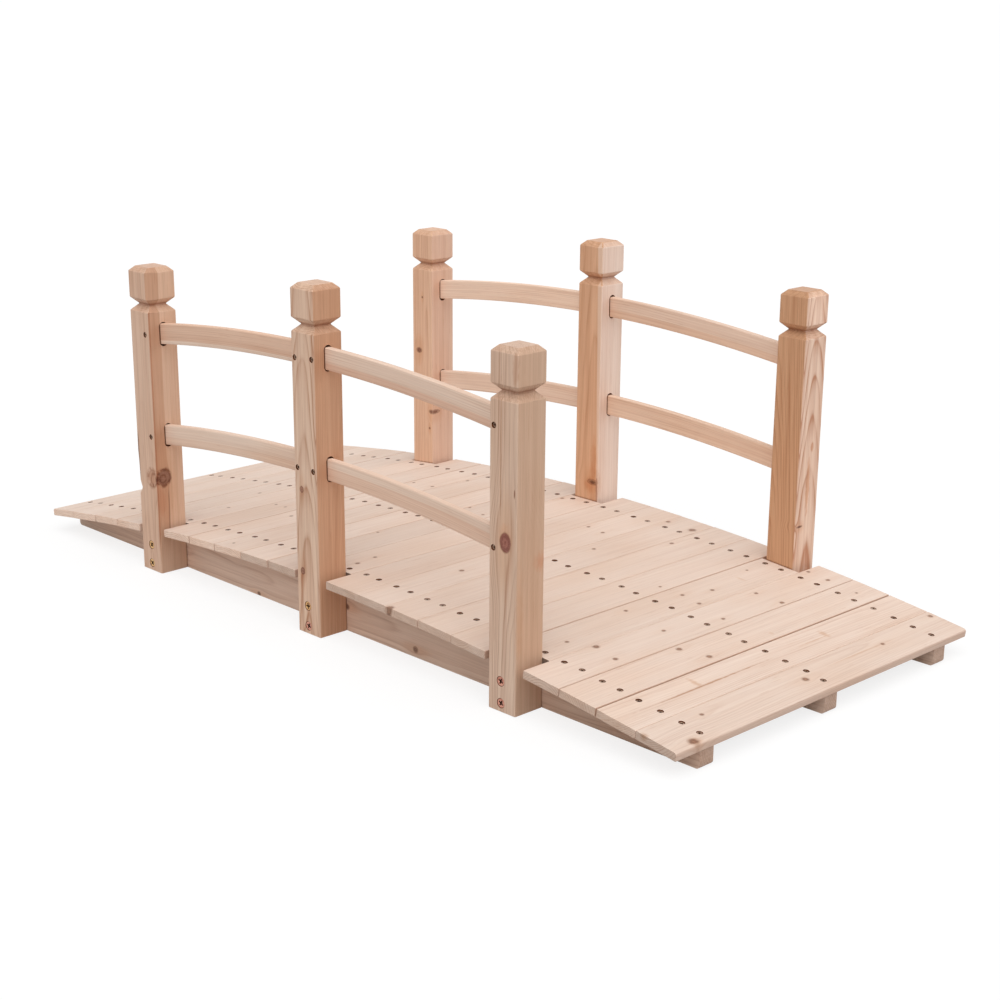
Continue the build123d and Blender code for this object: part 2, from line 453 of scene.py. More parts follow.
def rounded(corners, legs, steps=4):
    """A closed outline with corners rounded by a leg, or cut flat by a pair of legs in turning order."""
    points = []
    for i, corner in enumerate(corners):
        before = (corners[i - 1] - corner).normalized()
        after = (corners[(i + 1) % len(corners)] - corner).normalized()
        flat = isinstance(legs[i], tuple)
        first, second = legs[i] if flat else (legs[i], legs[i])
        start, stop = corner + before * first, corner + after * second
        for k in range(steps + 1):
            s = k / steps
            bow = start * (1 - s) ** 2 + corner * 2 * s * (1 - s) + stop * s**2
            points.append(start.lerp(stop, s) if flat else bow)
    return points


rng = random.Random(11)
# Walls of screw holes and mortises: rough, partly burnt wood, given darker still as painted shade
bored = bored_wood("bored_fir_painted_shade", (128, 74, 46), (72, 38, 22))
milled = bored_wood("milled_fir_painted_shade", (176, 112, 80), (122, 72, 50))

# Deck boards, drilled and sunk for their screws. Seams are counted by the board on their left.
SCREW_ROWS = (-272.5, 2.0, 272.5)
USUAL_SPREAD, SCREW_SPREAD = 16.2, {20: 19.0}
BOARD_EDGE, UNDER_EDGE, DECK_NOSE = 1.6, 1.0, 5.0
SEAM_GAPS = {3: 1.0, 6: 1.2, 7: 0.6, 9: 1.0, 12: 0.5, 13: 0.5, 14: 0.7, 15: 0.6, 16: 1.2, 17: 0.3, 18: 1.0,
             19: 1.8, 20: 0.4}
SEAM_SHIFTS = {6: 2.5, 7: 2.5, 8: 3.0, 9: 2.0, 11: 3.0, 17: 4.0, 18: 2.0}
SEAM_SHADES = {1: 0.25, 2: 0.25, 3: 0.7, 4: 0.35, 6: 0.8, 10: 0.3, 11: 0.35, 12: 0.2, 13: 0.2, 14: 0.25,
               15: 0.2, 16: 0.65, 17: 0.05, 18: 0.5, 19: 0.9, 20: 0.05}

# The sections that round a board's ends, drawn in and set back, and the profile of its screw holes
BOARD_END = ((1.3, 0.0), (0.4, 0.4), (0.0, 1.3))
SINK = ((0.0, 1.0), (5.4, 1.0), (4.9, 0.0), (4.4, -1.0), (4.4, -2.6), (0.0, -2.6))
deck_screws = []

# Knots of the deck boards: across, along and half size
DECK_KNOTS = {
    4: ((18, -68, 4),),
    5: ((-5, -174, 4),),
    6: ((-23, -110, 3.5), (7, -111, 3.5)),
    7: ((-5, -146, 4), (28, 156, 4), (-22, 155, 3.5)),
    8: ((-11, -318, 3), (-26, 228, 4)),
    10: ((-29, 100, 3.5), (19, 86, 3.5), (-29, -113, 3)),
    11: ((5, -247, 5), (0, -206, 4), (-30, 260, 4.5)),
    13: ((-28, 171, 4), (10, 167, 4), (-4, -146, 5)),
    14: ((23, 297, 8), (-26, -341, 8), (-31, 298, 5), (-15, 94, 4)),
    15: ((-26, 218, 4.5),),
    16: ((21, 53, 3),),
    17: ((-16, 224, 3), (-8, 56, 4), (6, 111, 4), (30, 52, 4.5), (8, -221, 4), (-17, -64, 4)),
    18: ((-17, 160, 4), (16, 38, 4), (-7, -72, 4), (-27, -198, 6.5), (30, 165, 5), (-25, 304, 4),
         (15, 303, 4.5), (19, -205, 5)),
    19: ((-23, -102, 5.5), (19, -83, 5.5), (2, 300, 3)),
    21: ((0, -19, 6.5), (-16, -230, 4), (-7, 179, 4), (-24, 330, 5), (27, -297, 9)),
}

# Stains of the deck boards, by middle, half sizes and tint: pitch streaks along the grain, knots that
# the saw cut lengthwise, and the darker wood at two corners of board 21
BOARD_STAINS = {
    17: (((2, -6.5, 186), (17, 20, 5), (0.93, 0.86, 0.79)),),
    19: (((20, -6.5, 60), (6, 20, 5), (0.93, 0.86, 0.79)),),
    20: (((2, -6.5, -150), (2.6, 20, 190), (0.66, 0.48, 0.37)),
         ((-6, -6.5, 128), (17, 20, 8), (0.88, 0.77, 0.67)),
         ((-12, -6.5, -166), (19, 20, 7), (0.86, 0.74, 0.64)),
         ((0, -6.5, 100), (2.0, 20, 60), (0.86, 0.74, 0.64))),
    21: (((-8, -6.5, 120), (2.0, 20, 90), (0.88, 0.77, 0.67)),
         ((29, -6.5, -294), (16, 20, 16), (0.90, 0.80, 0.72)),
         ((-22, -4, -341), (9, 8, 8), (0.74, 0.60, 0.50))),
}

# How boldly a board shows its rings and streaks, how much paler it is than most,
# and how pale its sawn ends are
BOLD_BOARDS = {20: 1.0, 21: 0.6, 19: 0.35}
PALE_BOARDS = {1: 4, 2: 4, 3: 5, 4: 5, 5: 5, 6: 4, 7: 4, 8: 3, 9: 2, 18: 4, 19: 6, 20: 6}
# Painted light pales the sawn ends of boards 1 to 8, and painted shade darkens the ends of the short boards
# beside the posts
END_TONES_AND_PAINTED_LIGHT = {**dict.fromkeys(range(1, 9), 1.30), **dict.fromkeys(POST_BOARDS, 0.3), 21: 0.86}


def board_frame(number):
    """The middle of a board's top, and the directions along the arc and away from its centre."""
    angle = (number - MIDDLE_BOARD) * PITCH_ANGLE
    radial = Vector((math.sin(angle), 0, math.cos(angle)))
    tangent = Vector((math.cos(angle), 0, -math.sin(angle)))
    return Vector((0, 0, CROWN - DECK_RADIUS)) + radial * DECK_RADIUS, tangent, radial


def board_edges(number):
    """Where a board's two long edges lie, from the middle of its place."""
    half = DECK_RADIUS * PITCH_ANGLE / 2
    left = -half + SEAM_SHIFTS.get(number - 1, 0.0) + SEAM_GAPS.get(number - 1, BOARD_GAP) / 2
    right = half + SEAM_SHIFTS.get(number, 0.0) - SEAM_GAPS.get(number, BOARD_GAP) / 2
    return left, right


def board_wood(number):
    """A board's wood, with painted shade along its seams, its knots and its stains."""
    seat, tangent, radial = board_frame(number)
    left, right = board_edges(number)
    tone = rng.uniform(-4, 4) + PALE_BOARDS.get(number, 0)
    paler = END_TONES_AND_PAINTED_LIGHT.get(number, 0.95)
    knots = [(a, -BOARD_THICK / 2, y, size, 40, 1.15 * size) for a, y, size in DECK_KNOTS.get(number, ())]
    bold = BOLD_BOARDS.get(number, 0.1)

    def seam_shade_and_stains(t, colour):
        along_edge = t.times(t.noise((0.5, 0.5, 0.01)), 1.6)
        # Painted shade: each long edge darkened like the shade in its seam's gap, as strongly as SEAM_SHADES
        # gives
        for edge, turn, seam in ((left, -1.0, number - 1), (right, 1.0, number)):
            inside = t.affine(t.split(t.place)[0], turn, along_edge)
            shade = t.smooth(inside, edge * turn - 0.9, edge * turn + 0.6, 0.0, SEAM_SHADES.get(seam, 0.5))
            colour = t.tint(shade, colour, 0.70, 0.55, 0.47)
        for spot, halves, tint in BOARD_STAINS.get(number, ()):
            colour = blot(t, colour, spot, halves, tint, 0.15)
        return colour

    axes = (tuple(tangent), tuple(-radial), (0.0, 1.0, 0.0))
    light, dark = ([part + tone for part in colour] for colour in ((235, 214, 199), (202, 166, 144)))
    return wood(
        f"board_fir_{number:02d}", ("straight", axes, seat - radial * BOARD_THICK / 2), light, dark,
        seed=number * 1.31, pith=(rng.uniform(-60, 60), rng.choice((-1, 1)) * rng.uniform(30, 80)),
        ring=rng.uniform(2.2, 3.8), taper=rng.choice((-1, 1)) * rng.uniform(0.006, 0.025),
        contrast=0.13 + 0.35 * bold, warp=rng.uniform(2.0, 4.5), side_lines=1.0, end_lines=0.95,
        mottle=0.4 + 0.3 * bold, fibres=0.24, end=(paler, 0.95 * paler, 0.91 * paler), knots=knots,
        knot_colour=(166, 122, 96), knot_heart=(126, 90, 70), knot_core=0.4, knot_rim=0.2, knot_glow=0.15,
        extra=seam_shade_and_stains)


def make_board(number, material):
    """One deck board with rounded edges and six sunk screws."""
    seat, tangent, radial = board_frame(number)
    left, right = board_edges(number)
    along = Vector((0, 1, 0))
    beside_post = number in POST_BOARDS
    half_length = (SHORT_LENGTH if beside_post else DECK_WIDTH) / 2
    shift = 0.0 if beside_post else rng.uniform(-0.9, 0.9)
    nose_left = DECK_NOSE if number == 1 else BOARD_EDGE
    nose_right = DECK_NOSE if number == BOARD_COUNT else BOARD_EDGE
    rings = []
    for end in (-1, 1):
        for inset, back in BOARD_END[::-end]:
            low, high = -BOARD_THICK + inset, -inset
            corners = [Vector((left + inset, low)), Vector((right - inset, low)),
                       Vector((right - inset, high)), Vector((left + inset, high))]
            outline = rounded(corners, (UNDER_EDGE, UNDER_EDGE, nose_right, nose_left), steps=3)
            station = seat + along * (shift + end * (half_length - back))
            rings.append([station + tangent * p.x + radial * p.y for p in outline])
    piece = add_piece(f"board_{number:02d}", loft("board", rings), material)
    spread = SCREW_SPREAD.get(number, USUAL_SPREAD)
    cutters = []
    for row in SCREW_ROWS:
        for side in (-1, 1):
            across = side * spread + rng.uniform(-0.8, 0.8)
            spot = seat + tangent * across + along * (row + rng.uniform(-1.5, 1.5))
            cutters.append(loft("hole", lathe(SINK, spot, radial)))
            deck_screws.append((spot - radial * rng.uniform(0.15, 1.5), radial, rng.uniform(0, math.pi / 2)))
    finish_piece(piece, cutters, bored)
    stand_for(piece, f"deck_board_{number:02d}")


for number in range(1, BOARD_COUNT + 1):
    make_board(number, board_wood(number))

# Posts with mortises, necks, heads and sunk screws. A cutter's slot picks the walls that it leaves.
MILLED_SLOT, BORED_SLOT = 0, 1
PIT = ((0.0, 1.0), (5.0, 1.0), (4.6, 0.0), (4.1, -2.0), (4.1, -3.0), (0.0, -3.0))
SEAT = ((0.0, 1.0), (8.0, 1.0), (7.7, 0.0), (7.3, -1.1), (7.3, -1.9), (0.0, -1.9))
EASED = 2.3
TOP_SLACK = 0.01
CUT_OVERRUN = 5.0
SLOT_POINTS = 32
WANE_NECK = 455.0
NOTCH = ((134.0, 0.0), (138.0, 3.2), (142.0, 7.0), (147.0, 9.0), (152.0, 6.5), (159.0, 4.0), (185.0, 3.2),
         (235.0, 0.0))
WANE_LEVELS = (20, 40, 60, 80, 100, 120, 134, 138, 142, 147, 152, 159, 170, 185, 210, 235, 275, 320, 380)
small_screws = []
base_screws = {"brass": [], "copper": []}


def rail_height_at(crown, distance):
    """Height of a rail's centre line at a distance from the middle of the bridge."""
    return crown - RAIL_HEIGHT / 2 - (RAIL_RADIUS - math.sqrt(RAIL_RADIUS**2 - distance**2))


def ramp_up(value, low, high):
    """Zero up to the low value, one from the high value on."""
    return min(max((value - low) / (high - low), 0.0), 1.0)


def wane_legs(z, inset):
    """How far the wane cuts into the front and side faces of a section that is drawn in by the inset."""
    full = WANE_FOOT + WANE_FADE
    side = EASED + (WANE_SIDE - EASED) * ramp_up(z, WANE_FOOT, full)
    front = EASED / 2 + (WANE_FRONT - EASED / 2) * ramp_up(z, WANE_NECK, END_POST - HEAD_BEVEL - HEAD_SIDE)
    legs = front - inset * (1 + front / side), side - inset * (1 + side / front)
    return legs if min(legs) > EASED / 4 and side > EASED + 1 else EASED


def notch_leg(z):
    """The bark pocket on the other front corner, which grows downwards and then closes quickly."""
    for (low, first), (high, second) in zip(NOTCH, NOTCH[1:]):
        if low <= z <= high:
            leg = first + (second - first) * (z - low) / (high - low)
            return (leg, leg) if leg > EASED else EASED
    return EASED


def post_levels(height, waned):
    """Heights and half widths of a post's sections, from the foot to the top of the head."""
    half, neck = POST / 2, NECK / 2
    bevel_foot = height - HEAD_BEVEL
    groove_top = bevel_foot - HEAD_SIDE
    groove_foot = groove_top - GROOVE
    groove = (groove_top + groove_foot) / 2
    slope = (half - neck) / (GROOVE / 2)
    height -= TOP_SLACK
    levels = [(0.0, half - 1.0), (0.35, half - 0.3), (1.0, half)]
    levels += [(z, half) for z in WANE_LEVELS if waned]
    levels += [(groove_foot - 0.8, half), (groove_foot, half - 0.35), (groove_foot + 0.7, half - 0.7 * slope)]
    levels += [(groove - 0.6, neck + 0.6 * slope), (groove + 0.6, neck + 0.6 * slope)]
    levels += [(groove_top - 0.7, half - 0.7 * slope), (groove_top, half - 0.35), (groove_top + 0.8, half)]
    levels += [(bevel_foot - 0.9, half), (bevel_foot, half - 0.35), (bevel_foot + 0.8, half - 0.9)]
    top = HEAD_TOP / 2
    return levels + [(height - 0.7, top + 0.9), (height - 0.1, top + 0.2), (height, top - 0.8)]


def mortise_cutter(along, across, toward, crown):
    """The round-ended slot that takes a rail, on the face of a post that looks along the bridge."""
    face = along + toward * POST / 2
    middle = rail_height_at(crown, abs(face - toward * MORTISE_DEPTH / 2))
    slot = []
    for k in range(SLOT_POINTS):
        a = 2 * math.pi * (k + 0.5) / SLOT_POINTS
        lift = math.copysign((MORTISE_HEIGHT - MORTISE_WIDTH) / 2, math.sin(a))
        y = across + math.cos(a) * MORTISE_WIDTH / 2
        z = middle + lift + math.sin(a) * MORTISE_WIDTH / 2
        slot.append((y, z))
    depths = (CUT_OVERRUN, -MORTISE_DEPTH)
    rings = [[Vector((face + toward * out, y, z)) for y, z in slot] for out in depths]
    return loft("mortise", rings, MILLED_SLOT)


def make_post(name, along, side, height, mortise_sides, material, screws, base, waned):
    """One post with its head, neck, mortises and screws, and any wane."""
    across = side * POST_Y
    rings = []
    for z, reach in post_levels(height, waned):
        legs = [EASED, EASED, EASED, EASED]
        if waned:
            legs[0] = notch_leg(z)
            legs[1] = wane_legs(z, POST / 2 - reach)
        corners = [Vector((x * reach, y * reach)) for x, y in SQUARE]
        rings.append([Vector((along + p.x, across + p.y, z)) for p in rounded(corners, legs)])
    piece = add_piece(f"{name}_timber", loft("post", rings), material)
    cutters = []
    for toward in mortise_sides:
        cutters += [mortise_cutter(along, across, toward, crown) for crown in RAIL_CROWNS.values()]
    out = Vector((0, side, 0))
    face_y = across + side * POST / 2
    for x, z in screws:
        spot = Vector((x, face_y, z))
        cutters.append(loft("pit", lathe(PIT, spot, out), BORED_SLOT))
        small_screws.append((spot - out * rng.uniform(1.6, 2.0), out, rng.uniform(0, math.pi / 2)))
    for x, z, plate in base:
        spot = Vector((x, face_y, z))
        cutters.append(loft("seat", lathe(SEAT, spot, out), BORED_SLOT))
        base_screws[plate].append((spot - out * 0.4, out, rng.uniform(0, math.pi / 2)))
    finish_piece(piece, cutters, milled, bored)
    stand_for(piece, name)


def painted_top_light(t, colour):
    """The flat top of a post's head, painted paler as painted light from above."""
    flat = t.smooth(t.facing((0.0, 0.0, 1.0)), 0.88, 0.97, 0.0, 0.2)
    return t.mix(flat, colour, linear(242, 216, 200))


def painted_corner_highlights(t, colour):
    """Painted highlights down the upright edges of a post, and painted light on its flat top."""
    colour = painted_top_light(t, colour)
    across, through, _ = t.split(t.place)
    near = t.plus(t.size(across), t.size(through))
    near = t.affine(t.noise((0.1, 0.1, 0.01)), 3.0, near)
    return t.mix(t.smooth(near, POST - 1.5, POST + 0.5, 0.0, 0.14), colour, linear(240, 212, 190))


# The rings of the waned post's two knots, by middle, half sizes, width of the line and tint
BARK_RINGS = (((12.6, -27, 169), (13.5, 14, 16.5), 0.45, (0.62, 0.48, 0.42)),
              ((17, -27, 166), (8, 12, 12), 0.42, (0.66, 0.53, 0.46)),
              ((30, -13.5, 170), (12.5, 15.5, 17), 0.26, (0.48, 0.34, 0.29)),
              ((30, -15, 168), (6.5, 8, 8.5), 0.36, (0.62, 0.48, 0.42)))


def bark_strip(t, colour):
    """The waned post: the log's darker skin with a reddish line at its edge, knots and a bark pocket."""
    across, through, up = t.split(t.place)
    wander = t.affine(t.noise((0.05, 0.05, 0.012)), 5.0, -2.5)
    bulge = t.times(t.bell(t.math("DIVIDE", t.minus(up, 172.0), 18.0)), 5.0)
    edge = t.plus(t.minus(through, WANE_SIDE - POST / 2), t.minus(wander, bulge))
    facing = t.smooth(t.facing((1.0, 0.0, 0.0)), 0.25, 0.45)
    risen = t.smooth(up, WANE_FOOT - 30, WANE_FOOT + 60)
    skin = t.times(t.times(t.smooth(edge, -0.8, 0.8, 1.0, 0.0), facing), risen)
    colour = t.tint(skin, colour, 0.84, 0.74, 0.68)
    from_side, from_front = t.minus(across, POST / 2 - 1), t.plus(through, POST / 2 - 1)
    corner = t.vector("LENGTH", t.join(from_side, from_front, 0.0))
    line = t.times(t.smooth(corner, 0.6, 2.6, 0.7, 0.0), risen)
    colour = t.tint(line, colour, 0.74, 0.52, 0.42)
    low = t.times(t.smooth(up, 50, 75), t.smooth(up, 135, 160, 0.8, 0.0))
    seam = t.times(t.times(t.bell(t.math("DIVIDE", edge, 1.3)), facing), low)
    colour = t.tint(seam, colour, 0.44, 0.30, 0.24)
    colour = blot(t, colour, (12.6, -27, 169), (14, 14, 17), (0.83, 0.71, 0.65), 0.5)
    for spot, halves, width, tint in BARK_RINGS:
        colour = ring_mark(t, colour, spot, halves, width, tint)
    colour = blot(t, colour, (27, -19, 128), (14, 9, 34), (0.97, 0.88, 0.84))
    off_side, off_front = t.plus(across, POST / 2), t.plus(through, POST / 2)
    pocket = t.vector("LENGTH", t.join(off_side, off_front, 0.0))
    high = t.times(t.smooth(up, 152, 168), t.smooth(up, 228, 250, 0.8, 0.0))
    colour = t.tint(t.times(t.smooth(pocket, 4.2, 6.4, 1.0, 0.0), high), colour, 0.40, 0.32, 0.29)
    # Painted light: the flat top of the head painted paler
    return painted_top_light(t, colour)


def marked(*blots):
    """Painted corner highlights and top light, then marks, each given by its middle, half sizes, tint and, at
    will, its core.
    """
    def extra(t, colour):
        colour = painted_corner_highlights(t, colour)
        for spot, halves, tint, *core in blots:
            colour = blot(t, colour, spot, halves, tint, *core)
        return colour
    return extra


def sapwood_edge(t, colour):
    """A paler band down one front corner of a post, wider towards its head, stains round its knot, and
    painted corner highlights and top light.
    """
    across, _, up = t.split(t.place)
    wander = t.times(t.noise((0.03, 0.03, 0.004)), 4.0)
    reach = t.affine(up, 0.017, wander)
    inside = t.minus(t.plus(across, reach), POST / 2 + 0.5)
    facing = t.smooth(t.facing((0.0, -1.0, 0.0)), 0.5, 0.8)
    share = t.times(t.smooth(inside, -1.2, 1.6, 0.0, 0.75), facing)
    colour = t.mix(share, colour, linear(238, 208, 186))
    colour = blot(t, colour, (17, -27, 172), (10, 9, 56), (0.90, 0.76, 0.66), 0.2)
    colour = blot(t, colour, (8, -27, 124), (17, 9, 20), (0.90, 0.76, 0.66), 0.2)
    colour = blot(t, colour, (25.5, -27, 118), (2.4, 5, 44), (0.58, 0.42, 0.35))
    return painted_corner_highlights(t, colour)


def painted_shade_and_grime(extra, along, side, height):
    """Adds painted shade and grime in a post's groove and where its inner face meets the deck, and painted
    shade where it meets the beam.
    """
    run = math.sqrt(DECK_RADIUS**2 - along**2)
    level = CROWN - DECK_RADIUS + run
    groove = height - HEAD_BEVEL - HEAD_SIDE - GROOVE / 2

    def shaded(t, colour):
        colour = extra(t, colour)
        across, through, up = t.split(t.place)
        uneven = t.affine(t.noise((0.15, 0.15, 0.15)), 2.4, level - 1.2)
        above = t.minus(up, t.affine(across, -along / run, uneven))
        inward = t.smooth(t.facing((0.0, -side, 0.0)), 0.5, 0.8)
        # Painted shade with some grime in a band along the deck line on the inner face
        line = t.times(t.smooth(t.size(above), 0.4, 2.8, 0.75, 0.0), inward)
        colour = t.tint(line, colour, 0.46, 0.33, 0.27)
        # Painted shade below the deck, where the post meets the beam
        rear = t.smooth(t.times(through, -side), POST / 2 - 2.6, POST / 2 - 1.0, 0.0, 0.8)
        painted_joint_shade = t.times(rear, t.smooth(above, -BOARD_THICK, 2 - BOARD_THICK, 1.0, 0.0))
        colour = t.tint(painted_joint_shade, colour, 0.42, 0.30, 0.25)
        # Painted shade with some grime in the neck's groove
        dim = t.smooth(t.size(t.minus(up, groove + 1.6)), 0.6, 4.2, 0.75, 0.0)
        return t.tint(dim, colour, 0.58, 0.43, 0.38)

    return shaded


def post_spec(light, dark, side_light, side_dark, seed, pith, **more):
    """What a post's wood is made with. It has painted corner highlights and top light unless more is given.
    """
    tones = {"light": light, "dark": dark, "side": (side_light, side_dark)}
    return {**tones, "seed": seed, "pith": pith, "extra": painted_corner_highlights, **more}


# A knot is its middle across, through and along the grain, then its half sizes the same ways
# A post's side colours, for its faces across the grain, hold painted light and shade as well as the wood's
# tone
POSTS = {
    "post_front_left": post_spec(
        (234, 198, 173), (188, 136, 106), (226, 189, 163), (196, 150, 119), 3.3, (-10, 62), ring=3.6,
        taper=0.012, contrast=0.45, side_lines=0.25, knot_colour=(190, 140, 118), knot_heart=(132, 90, 76),
        knot_core=0.85, knot_rim=0.5, knot_rough=0.4, knot_years=5.0, knot_fill=0.75, knot_grit=0.12,
        knots=((30, -13.5, 170, 11, 14.5, 15.5),), extra=bark_strip),
    "post_front_middle": post_spec(
        (242, 210, 185), (184, 128, 95), (212, 165, 133), (180, 124, 91), 5.1, (-3, 32), ring=3.4,
        taper=0.035, contrast=0.85, side_lines=0.35, knot_colour=(126, 82, 64), knot_heart=(166, 116, 94),
        knot_core=0.75, knot_rim=1.0, knot_rough=0.4, knot_glow=0.4,
        knots=((-11.6, -27, 236, 4.4, 60, 5.2), (-13, -27, 102.4, 5.2, 60, 5.8))),
    "post_front_right": post_spec(
        (235, 205, 182), (172, 121, 93), (212, 177, 151), (182, 140, 113), 8.2, (44, 30), ring=3.3,
        taper=0.014, contrast=0.50, warp=5.5, side_lines=0.25, mottle=0.8, knot_colour=(122, 62, 54),
        knot_heart=(162, 104, 94), knot_core=0.85, knot_rim=0.8, knot_rough=0.3, knot_years=10.0,
        knot_sweep=1.6, knots=((4.3, -27, 254, 11.5, 40, 14.5),),
        extra=marked(
            ((4.3, -27, 262), (17, 10, 26), (0.99, 0.90, 0.84), 0.35),
            ((27, 20, 222), (20, 18, 20), (0.98, 0.80, 0.72), 0.0),
            ((27, -20, 150), (9, 10, 110), (0.97, 0.90, 0.84), 0.1),
            ((22, -27, 327), (1.5, 6, 9), (0.45, 0.32, 0.27)),
            ((-5, -27, 380), (1.4, 6, 130), (0.74, 0.60, 0.52)),
            ((22, -27, 500), (7, 6, 34), (0.86, 0.76, 0.70)))),
    "post_back_left": post_spec(
        (243, 204, 175), (208, 152, 118), (234, 196, 173), (206, 154, 125), 2.7, (10, -44), ring=4.0,
        taper=0.02, contrast=0.4, side_lines=0.4, knot_colour=(150, 94, 70), knot_heart=(118, 74, 56),
        knots=((-9.4, -27, 299, 7.5, 12, 5.5), (26, -22, 183, 8, 15, 4.5), (20, -27, 150, 2.5, 8, 2.5),
               (-1, -27, 402, 2.2, 8, 2.2))),
    "post_back_middle": post_spec(
        (232, 186, 151), (196, 140, 103), (248, 224, 209), (222, 186, 166), 6.4, (14, 50), ring=4.0,
        taper=0.02, contrast=0.45, knot_colour=(134, 86, 62), knot_heart=(92, 56, 40), knot_core=0.3,
        knots=((14.5, -29, 131.5, 12, 9, 5.6),), extra=sapwood_edge),
    "post_back_right": post_spec(
        (216, 168, 131), (185, 131, 94), (247, 215, 193), (196, 138, 106), 9.6, (-30, 4), ring=4.2,
        taper=0.05, contrast=1.0, side_lines=1.0, knot_colour=(112, 68, 50),
        knots=((27, -15.5, 147, 10, 7.5, 2.0),),
        extra=marked(
            ((27, 0, 212), (12, 6, 62), (0.86, 0.68, 0.56)),
            ((27, 6, 276), (12, 4.5, 11), (0.80, 0.60, 0.50)),
            # Painted light: the right side of the head painted paler
            ((27, 0, 500), (16, 34, 40), (1.12, 1.13, 1.14)))),
}

# The screws of each post along the bridge and up: those that pin the rails, and the plated ones at its
# foot. A post's place is where it stands along the bridge, its height and the sides with mortises.
TENON_SCREWS = {
    "left": ((-421.8, 416.8), (-420.0, 241.7)),
    "middle": ((-19.5, 442.2), (20.9, 444.6), (-19.6, 269.6), (18.6, 269.6)),
    "right": ((416.2, 417.2), (416.5, 242.2)),
}
BASE_SCREWS = {
    "left": ((-435.6, 46.6, "brass"), (-436.4, 13.4, "brass")),
    "middle": ((-3.0, 46.4, "brass"), (-2.4, 13.2, "copper")),
    "right": ((432.8, 46.6, "copper"), (433.6, 13.3, "copper")),
}
POST_PLACES = (
    ("left", -POST_PITCH, END_POST, (1,)),
    ("middle", 0.0, MIDDLE_POST, (-1, 1)),
    ("right", POST_PITCH, END_POST, (-1,)),
)
for row, side in (("front", -1), ("back", 1)):
    for spot, along, height, mortises in POST_PLACES:
        name = f"post_{row}_{spot}"
        looks = {**POSTS[name], "extra": painted_shade_and_grime(POSTS[name]["extra"], along, side, height)}
        material = wood(f"{name}_fir", ("straight", UPRIGHT, Vector((along, side * POST_Y, 0))), **looks)
        waned = name == "post_front_left"
        make_post(name, along, side, height, mortises, material, TENON_SCREWS[spot], BASE_SCREWS[spot], waned)

# Rails, bent to their arc, with the two tones of heartwood and sapwood that some show, and painted shade at
# the ends that the mortises take in.
# A tone is the height above the rail's middle where it ends, the side it lies on, and its tint.
RAIL_STEPS = 32
RAIL_TONES = {
    "rail_front_right_upper": (-5.2, -1.0, (0.92, 0.80, 0.74)),
    "rail_front_right_lower": (4.5, -1.0, (0.95, 0.86, 0.81)),
    "rail_front_left_upper": (-10.5, 1.0, (0.93, 0.82, 0.75)),
    "rail_front_left_lower": (-3.0, -1.0, (0.96, 0.90, 0.86)),
    "rail_back_right_upper": (-4.0, -1.0, (0.95, 0.87, 0.81)),
    "rail_back_right_lower": (-40.0, 1.0, (0.98, 0.93, 0.88)),
    "rail_back_left_upper": (-40.0, 1.0, (1.10, 1.11, 1.11)),
}


def rail_wood(name, across, crown):
    """A rail's wood, with painted shade where the mortises house it."""
    def two_tones(t, colour):
        run = t.size(t.split(t.place)[2])
        # Painted shade: the rail darkened where it runs into a mortise
        painted_mortise_shade = t.math("MAXIMUM", t.smooth(run, POST / 2, POST / 2 + 1.2, 1.0, 0.0),
                        t.smooth(run, POST_PITCH - POST / 2 - 1.2, POST_PITCH - POST / 2))
        colour = t.tint(painted_mortise_shade, colour, 0.40, 0.25, 0.18)
        if name not in RAIL_TONES:
            return colour
        edge, turn, tint = RAIL_TONES[name]
        wander = t.times(t.noise((0.02, 0.02, 0.006)), 3.0)
        above = t.minus(t.plus(t.split(t.place)[1], wander), edge + 1.5)
        return t.tint(t.smooth(t.times(above, turn), -0.5, 0.5), colour, *tint)

    return wood(
        f"{name}_fir", ("arched", across, crown), (246, 219, 199), (216, 175, 149), seed=rng.uniform(1, 9),
        pith=(rng.uniform(-60, 60), rng.choice((-1, 1)) * rng.uniform(25, 60)), ring=rng.uniform(2.5, 4),
        taper=rng.uniform(-0.01, 0.01), contrast=0.48, warp=2.5, side_lines=1.0, extra=two_tones)


def make_rail(name, side, across, crown):
    """One arched rail, from the middle post to an end post."""
    inner = POST / 2 - TENON
    outer = POST_PITCH - POST / 2 + TENON
    middle = RAIL_RADIUS - RAIL_HEIGHT / 2
    start, stop = math.asin(inner / middle), math.asin(outer / middle)
    corners = [Vector((x * RAIL_THICK / 2, y * RAIL_HEIGHT / 2)) for x, y in SQUARE]
    outline = rounded(corners, [RAIL_EDGE] * 4)
    rings = []
    for k in range(RAIL_STEPS + 1):
        angle = side * (start + (stop - start) * k / RAIL_STEPS)
        radial = Vector((math.sin(angle), 0, math.cos(angle)))
        centre = Vector((0, across, crown - RAIL_RADIUS)) + radial * middle
        rings.append([centre + Vector((0, p.x, 0)) + radial * p.y for p in outline])
    piece = add_piece(f"{name}_bar", loft("rail", rings), rail_wood(name, across, crown))
    finish_piece(piece, [])
    stand_for(piece, name)


for row, across in (("front", -POST_Y), ("back", POST_Y)):
    for bay, side in (("left", -1), ("right", 1)):
        for level, crown in RAIL_CROWNS.items():
            make_rail(f"rail_{row}_{bay}_{level}", side, across, crown)

# Stringers keep their CAD shapes. The front one shows three knots.
STRINGER_KNOTS = {
    "stringer_front": ((-14, -2.6, 28, 60, 5, 5.5), (-14, -29, 190, 60, 5.5, 6),
                       (-14, -39, -204, 60, 3.5, 5)),
}


def painted_left_light(t, colour):
    """A beam's left half, painted paler as painted light from the left."""
    along = t.affine(t.noise((0.02, 0.02, 0.004)), 160.0, t.split(t.place)[2])
    return t.tint(t.smooth(along, 0.0, 420.0, 1.0, 0.0), colour, 1.15, 1.16, 1.17)


